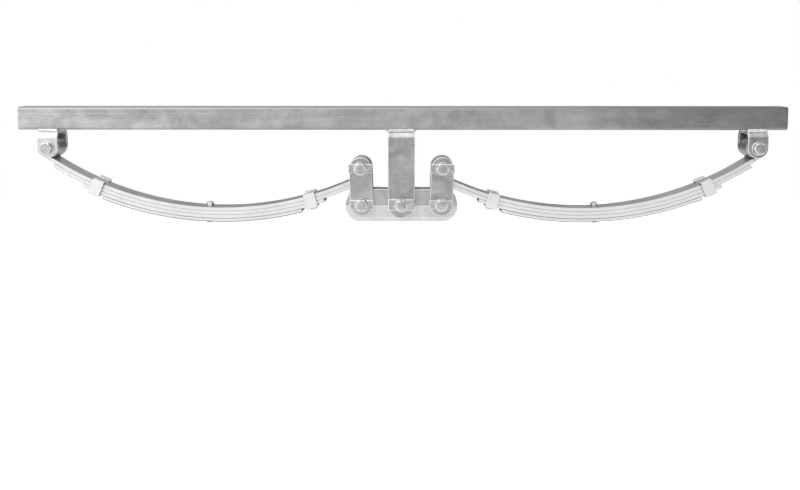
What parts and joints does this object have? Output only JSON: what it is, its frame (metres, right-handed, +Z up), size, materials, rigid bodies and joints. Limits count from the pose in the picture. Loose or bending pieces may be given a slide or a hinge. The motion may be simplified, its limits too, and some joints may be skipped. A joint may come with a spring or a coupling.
{
  "type": "tandem trailer leaf spring suspension unit",
  "caption": "Square rail with welded hangers carrying two leaf springs, shackles and a load-sharing rocker for one side of a two-axle trailer or caravan.",
  "frame": {"origin": "the centre of the rail's flat top face, where the unit meets the chassis", "axes": "+X along the rail from the front end to the rear end, -Y towards the outer side where the bolt heads are, +Z up out of the rail's top face"},
  "size_m": [1.68, 0.099, 0.2588],
  "materials": {
    "galvanised": "satin",
    "spring_steel": "satin",
    "zinc_plate": "satin",
    "clip_steel": "satin",
    "weld_metal": "matte",
    "bush_polymer": "matte"
  },
  "bodies": {
    "frame": {"rail": "galvanised", "front_hanger": "galvanised", "centre_hanger": "galvanised", "rear_hanger": "galvanised", "front_hanger_welds": "weld_metal", "centre_hanger_welds": "weld_metal", "rear_hanger_welds": "weld_metal", "front_hanger_bolt": "zinc_plate", "front_hanger_washers": "zinc_plate", "front_hanger_nut": "zinc_plate", "centre_hanger_bolt": "zinc_plate", "centre_hanger_washers": "zinc_plate", "centre_hanger_nut": "zinc_plate", "centre_hanger_keeper": "zinc_plate", "rear_hanger_bolt": "zinc_plate", "rear_hanger_washers": "zinc_plate", "rear_hanger_nut": "zinc_plate"},
    "front_spring": {"front_main_leaf": "spring_steel", "front_second_leaf": "spring_steel", "front_third_leaf": "spring_steel", "front_fourth_leaf": "spring_steel", "front_outer_clip": "clip_steel", "front_inner_clip": "clip_steel", "front_clip_rivets": "zinc_plate", "front_centre_bolt": "zinc_plate", "front_centre_nut": "zinc_plate", "front_outer_bush": "bush_polymer", "front_inner_bush": "bush_polymer"},
    "rear_spring": {"rear_main_leaf": "spring_steel", "rear_second_leaf": "spring_steel", "rear_third_leaf": "spring_steel", "rear_fourth_leaf": "spring_steel", "rear_outer_clip": "clip_steel", "rear_inner_clip": "clip_steel", "rear_clip_rivets": "zinc_plate", "rear_centre_bolt": "zinc_plate", "rear_centre_nut": "zinc_plate", "rear_outer_bush": "bush_polymer", "rear_inner_bush": "bush_polymer"},
    "rocker": {"rocker_outer_plate": "galvanised", "rocker_inner_plate": "galvanised", "rocker_trough": "galvanised", "rocker_pivot_tubes": "galvanised", "rocker_bushes": "bush_polymer"},
    "front_shackle": {"front_shackle_outer_plate": "galvanised", "front_shackle_inner_plate": "galvanised", "front_shackle_keepers": "zinc_plate", "front_shackle_bolts": "zinc_plate", "front_shackle_washers": "zinc_plate", "front_shackle_nuts": "zinc_plate"},
    "rear_shackle": {"rear_shackle_outer_plate": "galvanised", "rear_shackle_inner_plate": "galvanised", "rear_shackle_keepers": "zinc_plate", "rear_shackle_bolts": "zinc_plate", "rear_shackle_washers": "zinc_plate", "rear_shackle_nuts": "zinc_plate"}
  },
  "joints": [
    {"name": "rocker_tilt", "type": "hinge", "parent": "frame", "child": "rocker", "pos_m": [0, 0, -0.215], "axis": [0, 1, 0], "range_deg": [-12, 12]},
    {"name": "front_spring_pivot", "type": "hinge", "parent": "frame", "child": "front_spring", "pos_m": [-0.7755, 0, -0.09], "axis": [0, 1, 0], "range_deg": [-1.52, 1.52]},
    {"name": "rear_spring_pivot", "type": "hinge", "parent": "frame", "child": "rear_spring", "pos_m": [0.7755, 0, -0.09], "axis": [0, 1, 0], "range_deg": [-1.52, 1.52]},
    {"name": "front_shackle_swing", "type": "hinge", "parent": "rocker", "child": "front_shackle", "pos_m": [-0.0875, 0, -0.215], "axis": [0, 1, 0], "range_deg": [-11.15, 11.15]},
    {"name": "rear_shackle_swing", "type": "hinge", "parent": "rocker", "child": "rear_shackle", "pos_m": [0.0875, 0, -0.215], "axis": [0, 1, 0], "range_deg": [-11.15, 11.15]}
  ],
  "couplings": [
    {"joint": "front_spring_pivot", "follows": "rocker_tilt", "ratio": -0.1266},
    {"joint": "rear_spring_pivot", "follows": "rocker_tilt", "ratio": -0.1266},
    {"joint": "front_shackle_swing", "follows": "rocker_tilt", "ratio": -0.9288},
    {"joint": "rear_shackle_swing", "follows": "rocker_tilt", "ratio": -0.9288}
  ]
}
